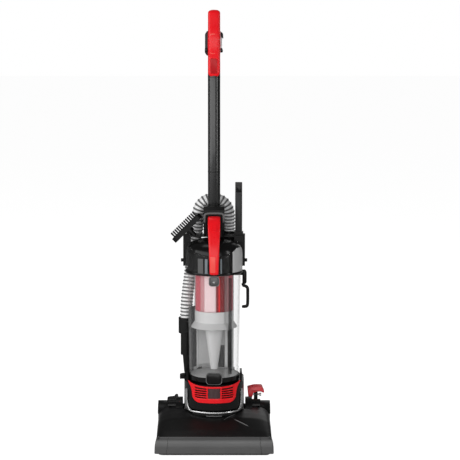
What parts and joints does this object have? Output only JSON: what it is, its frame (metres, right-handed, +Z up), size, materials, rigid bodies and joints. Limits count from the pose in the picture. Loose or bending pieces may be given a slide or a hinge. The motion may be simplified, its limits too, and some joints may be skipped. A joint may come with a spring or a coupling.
{
  "type": "upright vacuum cleaner",
  "caption": "Compact bagless upright vacuum cleaner with clear dust cup, red carry handle, ribbed hose, stored tools and a reclining body on a wheeled brush-roll head.",
  "frame": {"origin": "on the floor, under the middle of the machine's outer box", "axes": "+X to the right seen from the front, +Y to the rear, +Z up along the body"},
  "size_m": [0.302, 0.278, 1.12],
  "materials": {
    "gloss_black": "glossy moulded plastic",
    "satin_black": "fine textured moulded plastic",
    "red_plastic": "glossy red moulded plastic",
    "clear_plastic": "clear polycarbonate",
    "smoke_plastic": "grey translucent plastic",
    "grey_plastic": "grey moulded plastic",
    "silver_trim": "silver paint",
    "steel": "bright steel",
    "rubber": "rubber",
    "bristle": "nylon bristle",
    "filter": "pleated filter",
    "hose_plastic": "clear ribbed hose",
    "red_screen": "red tinted screen"
  },
  "bodies": {
    "floor_head": {"head_base": "satin_black", "head_hood": "gloss_black", "front_bumper": "gloss_black", "sole_plate": "steel", "brush_end_caps": "grey_plastic", "drive_belt": "rubber", "belt_cover": "satin_black", "duct_cover": "satin_black", "suction_duct": "grey_plastic", "pivot_caps": "satin_black", "head_axles": "steel", "pedal_springs": "steel", "head_screws": "steel"},
    "left_wheel": {"rear_wheel_left": "satin_black", "rear_tyre_left": "rubber"},
    "right_wheel": {"rear_wheel_right": "satin_black", "rear_tyre_right": "rubber"},
    "left_roller": {"front_roller_left": "grey_plastic"},
    "right_roller": {"front_roller_right": "grey_plastic"},
    "brush_roll": {"brush_core": "satin_black", "brush_bristles": "bristle"},
    "recline_lever": {"recline_pedal": "red_plastic"},
    "power_lever": {"power_pedal": "satin_black"},
    "upper_body": {"motor_housing": "satin_black", "motor_rear_cover": "satin_black", "trim_band": "silver_trim", "motor": "steel", "fan_housing": "grey_plastic", "exhaust_filter": "filter", "spine": "satin_black", "spine_cover": "satin_black", "neck_collar": "gloss_black", "tool_bracket": "satin_black", "wand_duct": "satin_black", "hose_port": "satin_black", "lower_cord_hook": "satin_black", "cord_gland": "rubber", "body_screws": "steel", "handle_tube": "gloss_black", "handle_grip": "red_plastic", "hose": "hose_plastic"},
    "rotor": {"rotor_shaft": "steel", "fan_impeller": "grey_plastic"},
    "grille": {"exhaust_grille": "red_plastic"},
    "cup": {"dust_cup": "clear_plastic", "cup_door": "gloss_black", "cup_lid": "gloss_black", "carry_handle": "red_plastic", "shroud_screen": "red_screen", "shroud_skirt": "smoke_plastic", "cyclone_cone": "smoke_plastic", "cup_filter": "filter"},
    "release_button": {"cup_release": "red_plastic"},
    "door_lever": {"door_latch": "grey_plastic"},
    "lid_lever": {"lid_latch": "smoke_plastic"},
    "wand": {"hose_wand": "satin_black"},
    "crevice": {"crevice_tool": "satin_black"},
    "duster": {"dusting_brush": "satin_black", "dusting_bristles": "bristle"},
    "cord_hook": {"upper_cord_hook": "satin_black"}
  },
  "joints": [
    {"name": "left_wheel_spin", "type": "hinge", "parent": "floor_head", "child": "left_wheel", "pos_m": [-0.136, 0.098, 0.041], "axis": [1, 0, 0], "continuous": true},
    {"name": "right_wheel_spin", "type": "hinge", "parent": "floor_head", "child": "right_wheel", "pos_m": [0.136, 0.098, 0.041], "axis": [1, 0, 0], "continuous": true},
    {"name": "left_roller_spin", "type": "hinge", "parent": "floor_head", "child": "left_roller", "pos_m": [-0.06, -0.06, 0.009], "axis": [1, 0, 0], "continuous": true},
    {"name": "right_roller_spin", "type": "hinge", "parent": "floor_head", "child": "right_roller", "pos_m": [0.06, -0.06, 0.009], "axis": [1, 0, 0], "continuous": true},
    {"name": "brush_spin", "type": "hinge", "parent": "floor_head", "child": "brush_roll", "pos_m": [0, -0.105, 0.024], "axis": [1, 0, 0], "continuous": true},
    {"name": "recline_pedal_press", "type": "hinge", "parent": "floor_head", "child": "recline_lever", "pos_m": [0.11, 0.098, 0.105], "axis": [-1, 0, 0], "range_deg": [0, 12], "stiffness_Nm_per_rad": 0.4, "springref_deg": -8.59},
    {"name": "power_pedal_press", "type": "hinge", "parent": "floor_head", "child": "power_lever", "pos_m": [-0.11, 0.098, 0.086], "axis": [-1, 0, 0], "range_deg": [0, 10], "stiffness_Nm_per_rad": 0.4, "springref_deg": -8.59},
    {"name": "body_recline", "type": "hinge", "parent": "floor_head", "child": "upper_body", "pos_m": [0, 0.061, 0.072], "axis": [-1, 0, 0], "range_deg": [0, 70]},
    {"name": "rotor_spin", "type": "hinge", "parent": "upper_body", "child": "rotor", "pos_m": [0, 0.061, 0.072], "axis": [1, 0, 0], "continuous": true},
    {"name": "grille_pull", "type": "slide", "parent": "upper_body", "child": "grille", "axis": [0, -0.9659, 0.2588], "range_m": [0, 0.06]},
    {"name": "cup_pull", "type": "slide", "parent": "upper_body", "child": "cup", "axis": [0, -0.9962, 0.0872], "range_m": [0, 0.15]},
    {"name": "release_press", "type": "slide", "parent": "cup", "child": "release_button", "axis": [0, 0.8944, -0.4472], "range_m": [0, 0.0024], "stiffness_N_per_m": 400, "springref_m": -0.001},
    {"name": "door_latch_swing", "type": "hinge", "parent": "cup", "child": "door_lever", "pos_m": [0, -0.03885, 0.19], "axis": [-1, 0, 0], "range_deg": [0, 18], "stiffness_Nm_per_rad": 0.05, "springref_deg": -11.46},
    {"name": "lid_latch_swing", "type": "hinge", "parent": "cup", "child": "lid_lever", "pos_m": [0, -0.0418, 0.443], "axis": [-1, 0, 0], "range_deg": [0, 20], "stiffness_Nm_per_rad": 0.05, "springref_deg": -11.46},
    {"name": "wand_lift", "type": "slide", "parent": "upper_body", "child": "wand", "axis": [0, 0, 1], "range_m": [0, 0.065], "deforming": ["hose"]},
    {"name": "crevice_lift", "type": "slide", "parent": "upper_body", "child": "crevice", "axis": [0, 0, 1], "range_m": [0, 0.12]},
    {"name": "duster_pull", "type": "slide", "parent": "upper_body", "child": "duster", "axis": [-0.7071, 0, 0.7071], "range_m": [0, 0.05]},
    {"name": "cord_hook_turn", "type": "hinge", "parent": "upper_body", "child": "cord_hook", "pos_m": [0, 0.075, 1.034], "axis": [0, 1, 0], "range_deg": [0, 180]}
  ],
  "couplings": [
    {"joint": "rotor_spin", "follows": "brush_spin", "ratio": 1.375}
  ]
}
